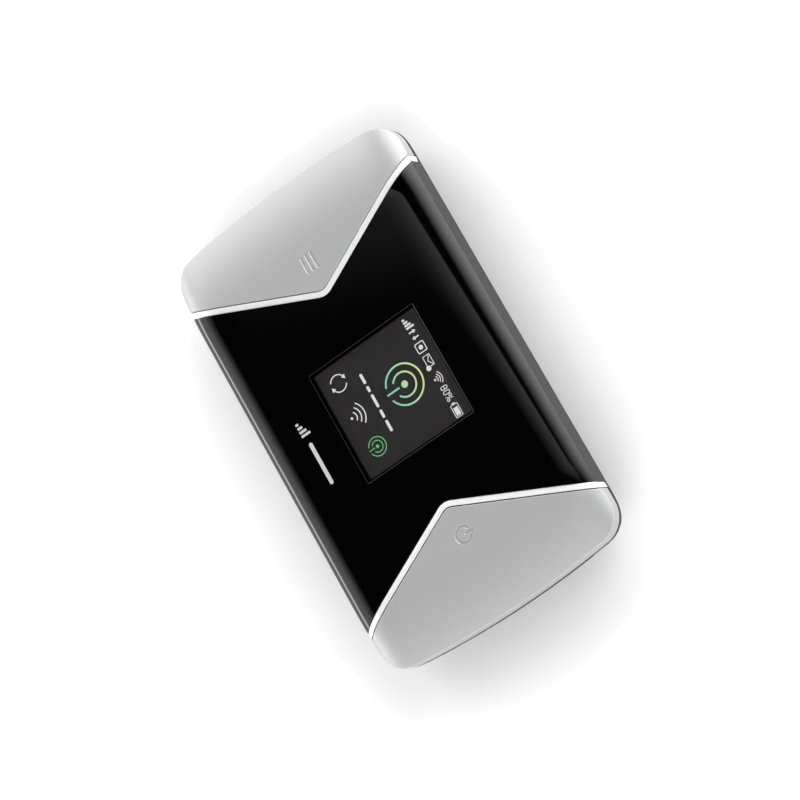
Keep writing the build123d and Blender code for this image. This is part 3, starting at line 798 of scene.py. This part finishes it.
def front_mark():
    """A plain printed mark where a maker would put a name: rising bars and a bar."""
    sheet = Sheet()
    x, y = 1.0, -21.4
    sunk, lift = 0.05, 0.004
    shapes = [box_loop((x - 7.5 + i, y - 0.7 + 0.3 * i), 0.6, 0.8 + 0.6 * i, 0.15) for i in range(4)]
    shapes.append(box_loop((x + 3.2, y), 11.0, 1.0, 0.5, 9))
    for loop in shapes:
        sheet.plate([loop], HEIGHT - sunk, HEIGHT + lift)
    piece = sheet.build("front_mark", "chassis", ["band_grey"])
    piece.data.materials[0] = FINISHES["print_grey"]


# ------------------------------------------------------------ stage

# Sky: (elevation where it starts to fade, where it ends, strength) round the horizon and for the wall of
# light above it, then the soft patches as (azimuth, elevation, inner, outer, strength). Azimuths run from
# +X towards +Y, in degrees.
HORIZON = (3, 10, 5.0)
WALL_LIGHT = (28, 46, 1.4)
DARK_SKY = 0.01
# Where the horizon is dimmed: azimuth, elevation, inner, outer, and the share left inside and outside it
DIM_HORIZON = (10, 0, 30, 75, 0.2, 1.0)
SKY_PATCHES = (
    (130, 21, 14, 43, 3.0),
    (205, 32, 10, 26, 2.4),
    (345, 50, 15, 42, 1.4),
    (310, 32, 10, 35, 0.5),
)
# A ceiling strip: the way across it in plan, where its far edge is, how far it fades, and its strength
CEILING = ((-0.97, 0.244, 0.0), 0.279, 0.11, 0.8)

# Camera angles in degrees; its distance, its shifts off the line to the origin and its lens in millimetres
CAMERA_AZIMUTH, CAMERA_ELEVATION, CAMERA_ROLL = 57.116, 64.626, -89.287
CAMERA_DISTANCE, CAMERA_ASIDE, CAMERA_ABOVE = 745.555, 3.2009, 0.3718
CAMERA_LENS = 145.1


def direction(azimuth, elevation):
    """Unit vector from its angles in degrees: azimuth from +X towards +Y."""
    a, e = radians(azimuth), radians(elevation)
    return Vector((cos(e) * cos(a), cos(e) * sin(a), sin(e)))


def camera():
    """A camera at the picture's angle, looking along a long lens."""
    back = direction(CAMERA_AZIMUTH, CAMERA_ELEVATION)
    roll = radians(CAMERA_ROLL)
    forward = -back
    right = forward.cross(Vector((0, 0, 1))).normalized()
    up = right.cross(forward)
    across = right * cos(roll) + up * sin(roll)
    above = up * cos(roll) - right * sin(roll)
    data = bpy.data.cameras.new("camera")
    data.sensor_width = 36.0
    data.lens = CAMERA_LENS
    data.clip_end = 20.0
    made = bpy.data.objects.new("camera", data)
    place = (back * CAMERA_DISTANCE - across * CAMERA_ASIDE - above * CAMERA_ABOVE) * MM
    turn = Matrix((across, above, back)).transposed().to_4x4()
    made.matrix_world = Matrix.Translation(place) @ turn
    bpy.context.scene.collection.objects.link(made)
    bpy.context.scene.camera = made


def lobe(tree, place, azimuth, elevation, inner, outer, strength, outside=0.0):
    """A round soft patch of sky: its strength within inner degrees of its middle, another past outer."""
    toward = tree.nodes.new("ShaderNodeVectorMath")
    toward.operation = "DOT_PRODUCT"
    toward.inputs[1].default_value = direction(azimuth, elevation)
    tree.links.new(place.outputs["Generated"], toward.inputs[0])
    fade = tree.nodes.new("ShaderNodeMapRange")
    fade.interpolation_type = "SMOOTHSTEP"
    fade.inputs["From Min"].default_value = cos(radians(outer))
    fade.inputs["From Max"].default_value = cos(radians(inner))
    fade.inputs["To Min"].default_value = outside
    fade.inputs["To Max"].default_value = strength
    tree.links.new(toward.outputs["Value"], fade.inputs["Value"])
    return fade.outputs["Result"]


def ceiling(tree, place, height):
    """A strip overhead with one crisp edge, fading away from it."""
    across_way, edge, fade, strength = CEILING
    edge_width, overhead_low, overhead_full = 0.006, 0.84, 0.9
    across = tree.nodes.new("ShaderNodeVectorMath")
    across.operation = "DOT_PRODUCT"
    across.inputs[1].default_value = across_way
    tree.links.new(place.outputs["Generated"], across.inputs[0])
    glow = remap(tree, across.outputs["Value"], edge - fade, edge, 0, strength)
    crisp = remap(tree, across.outputs["Value"], edge, edge + edge_width, 1, 0)
    overhead = remap(tree, height, overhead_low, overhead_full, 0, 1)
    return combine(tree, "MULTIPLY", combine(tree, "MULTIPLY", glow, crisp), overhead)


def combine(tree, operation, first, second):
    """Two values put together."""
    node = tree.nodes.new("ShaderNodeMath")
    node.operation = operation
    tree.links.new(first, node.inputs[0])
    tree.links.new(second, node.inputs[1])
    return node.outputs["Value"]


def fading(tree, height, start, end, strength, above):
    """Light up to one elevation in degrees, fading to another strength at the next."""
    return remap(tree, height, sin(radians(start)), sin(radians(end)), strength, above)


def sky():
    """Studio light as soft patches of sky, dark where the glossy front would mirror it to the camera."""
    world = bpy.data.worlds.new("sky")
    bpy.context.scene.world = world
    world.use_nodes = True
    tree = world.node_tree
    place = tree.nodes.new("ShaderNodeTexCoord")
    split = tree.nodes.new("ShaderNodeSeparateXYZ")
    tree.links.new(place.outputs["Generated"], split.inputs["Vector"])
    height = split.outputs["Z"]
    total = fading(tree, height, *HORIZON, DARK_SKY)
    total = combine(tree, "MULTIPLY", total, lobe(tree, place, *DIM_HORIZON))
    total = combine(tree, "ADD", total, fading(tree, height, *WALL_LIGHT, 0))
    for patch in SKY_PATCHES:
        total = combine(tree, "ADD", total, lobe(tree, place, *patch))
    total = combine(tree, "ADD", total, ceiling(tree, place, height))
    background = tree.nodes["Background"]
    background.inputs["Color"].default_value = (1, 1, 1, 1)
    tree.links.new(total, background.inputs["Strength"])


def floor():
    """A pale floor under the object."""
    tree, shader = finish("floor", (0.9, 0.9, 0.9), 0.9)
    vary_colour(tree, shader, noise(tree, 40), (0.89, 0.89, 0.89), (0.91, 0.91, 0.91))
    mesh = bpy.data.meshes.new("floor")
    reach = 3.0
    corners = [(-reach, -reach, 0), (reach, -reach, 0), (reach, reach, 0), (-reach, reach, 0)]
    mesh.from_pydata(corners, [], [(0, 1, 2, 3)])
    mesh.materials.append(FINISHES["floor"])
    made = bpy.data.objects.new("floor", mesh)
    bpy.context.scene.collection.objects.link(made)


def stage():
    """Camera, floor and lights."""
    camera()
    floor()
    sky()
    bpy.context.scene.view_settings.view_transform = "Standard"


# ------------------------------------------------------------ the whole

make_finishes()
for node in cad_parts.values():
    for place in node.material_slots:
        place.material = FINISHES[place.material.name.split(".")[0]]

power_cap = key_shell(power_icon())
menu_cap = key_shell(menu_icon()).mirrored()
power_trim = trim_strip()
menu_trim = power_trim.mirrored()
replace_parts(front_panel(), "front_panel")
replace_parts(lens(), "display_lens")
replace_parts(power_cap.build("power_cap_shell", "power_key", ["satin_silver"]), "power_key_cap")
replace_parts(menu_cap.build("menu_cap_shell", "menu_key", ["satin_silver"]), "menu_key_cap")
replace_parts(power_trim.build("power_trim_strip", "chassis", ["bright_trim"]), "power_trim")
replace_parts(menu_trim.build("menu_trim_strip", "chassis", ["bright_trim"]), "menu_trim")
screen_contents()
front_mark()
stage()
